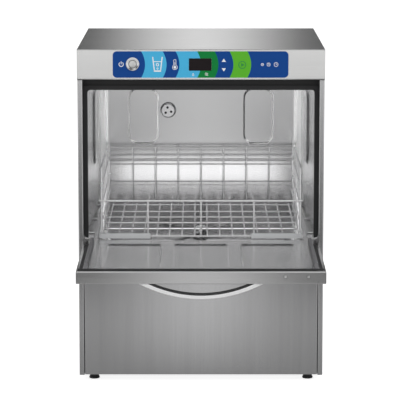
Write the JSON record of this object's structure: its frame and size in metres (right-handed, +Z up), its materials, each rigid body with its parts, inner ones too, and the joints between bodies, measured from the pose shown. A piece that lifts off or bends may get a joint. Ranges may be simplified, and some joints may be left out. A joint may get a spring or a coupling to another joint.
{
  "type": "glass washer",
  "caption": "Under-counter glass washer with drop-down door, wire rack on rails, twin spray arms above and below, and a flat control panel.",
  "frame": {"origin": "on the floor, under the middle of the machine's plan with its door open", "axes": "+Z up, -Y out of the front where the door opens, +X to the right as seen from the front"},
  "size_m": [0.6, 1.015, 0.82],
  "materials": {
    "brushed_steel": "fine vertical brushing, satin",
    "polished_steel": "bright rolled stainless",
    "steel_parts": "plain stainless",
    "satin_alloy": "satin",
    "chromed": "polished",
    "panel_film": "printed film in blue and green",
    "dark_window": "smoked window",
    "black_rubber": "matt rubber",
    "black_plastic": "moulded",
    "grey_plastic": "moulded",
    "board_green": "circuit board",
    "coated_wire": "bright steel wire",
    "motor_metal": "cast shell",
    "brass_fitting": "plain brass"
  },
  "bodies": {
    "cabinet": {"base_tray": "steel_parts", "boiler": "steel_parts", "boiler_heater": "steel_parts", "button_bezel": "chromed", "cable_gland": "black_plastic", "control_board": "board_green", "control_fascia": "brushed_steel", "control_overlay": "panel_film", "display_window": "dark_window", "door_buffers": "black_rubber", "door_seal": "black_rubber", "door_switch": "black_plastic", "dosing_pumps": "black_plastic", "drain_hoses": "black_rubber", "drain_pump": "black_plastic", "drain_spigot": "black_plastic", "feet": "black_plastic", "front_panel": "brushed_steel", "hinge_brackets": "steel_parts", "hinge_pins": "steel_parts", "inlet_valve": "brass_fitting", "lower_spindle": "grey_plastic", "overflow_pipe": "grey_plastic", "power_switch": "black_plastic", "pump_hoses": "black_rubber", "pump_motor": "motor_metal", "rack_rails": "polished_steel", "rear_panel": "brushed_steel", "rear_screws": "steel_parts", "side_panel_left": "brushed_steel", "side_panel_right": "brushed_steel", "suction_strainer": "polished_steel", "tank_filters": "polished_steel", "tank_heater": "steel_parts", "terminal_block": "black_plastic", "top_cover": "brushed_steel", "upper_feed_pipe": "grey_plastic", "upper_spindle": "grey_plastic", "wall_boss": "chromed", "wash_pump": "black_plastic", "wash_tank": "polished_steel"},
    "door": {"door_outer_skin": "brushed_steel", "door_inner_skin": "polished_steel", "door_seal_strip": "black_rubber", "door_guides": "polished_steel", "door_handle": "satin_alloy", "hinge_knuckles": "grey_plastic"},
    "rack": {"rack_floor": "coated_wire", "rack_front": "coated_wire", "rack_rear": "coated_wire", "rack_sides": "coated_wire", "rack_skids": "grey_plastic"},
    "power_button_body": {"power_button": "chromed"},
    "up_key_body": {"up_key": "grey_plastic"},
    "down_key_body": {"down_key": "grey_plastic"},
    "start_key_body": {"start_key": "grey_plastic"},
    "lower_wash_arm_body": {"lower_wash_arm": "polished_steel"},
    "lower_rinse_arm_body": {"lower_rinse_arm": "polished_steel"},
    "upper_wash_arm_body": {"upper_wash_arm": "polished_steel"},
    "upper_rinse_arm_body": {"upper_rinse_arm": "polished_steel"}
  },
  "joints": [
    {"name": "door_hinge", "type": "hinge", "parent": "cabinet", "child": "door", "pos_m": [0, -0.0985, 0.3355], "axis": [-1, 0, 0], "range_deg": [0, 90]},
    {"name": "rack_slide", "type": "slide", "parent": "cabinet", "child": "rack", "axis": [0, 1, 0], "range_m": [-0.386, 0]},
    {"name": "power_button_press", "type": "slide", "parent": "cabinet", "child": "power_button_body", "axis": [0, 1, 0], "range_m": [0, 0.003], "stiffness_N_per_m": 400},
    {"name": "up_key_press", "type": "slide", "parent": "cabinet", "child": "up_key_body", "axis": [0, 1, 0], "range_m": [0, 0.0005], "stiffness_N_per_m": 800},
    {"name": "down_key_press", "type": "slide", "parent": "cabinet", "child": "down_key_body", "axis": [0, 1, 0], "range_m": [0, 0.0005], "stiffness_N_per_m": 800},
    {"name": "start_key_press", "type": "slide", "parent": "cabinet", "child": "start_key_body", "axis": [0, 1, 0], "range_m": [0, 0.0005], "stiffness_N_per_m": 800},
    {"name": "lower_wash_arm_spin", "type": "hinge", "parent": "cabinet", "child": "lower_wash_arm_body", "pos_m": [0, 0.1855, 0.3], "axis": [0, 0, 1], "continuous": true},
    {"name": "lower_rinse_arm_spin", "type": "hinge", "parent": "cabinet", "child": "lower_rinse_arm_body", "pos_m": [0, 0.1855, 0.3], "axis": [0, 0, 1], "continuous": true},
    {"name": "upper_wash_arm_spin", "type": "hinge", "parent": "cabinet", "child": "upper_wash_arm_body", "pos_m": [0, 0.1855, 0.73], "axis": [0, 0, 1], "continuous": true},
    {"name": "upper_rinse_arm_spin", "type": "hinge", "parent": "cabinet", "child": "upper_rinse_arm_body", "pos_m": [0, 0.1855, 0.73], "axis": [0, 0, 1], "continuous": true}
  ]
}
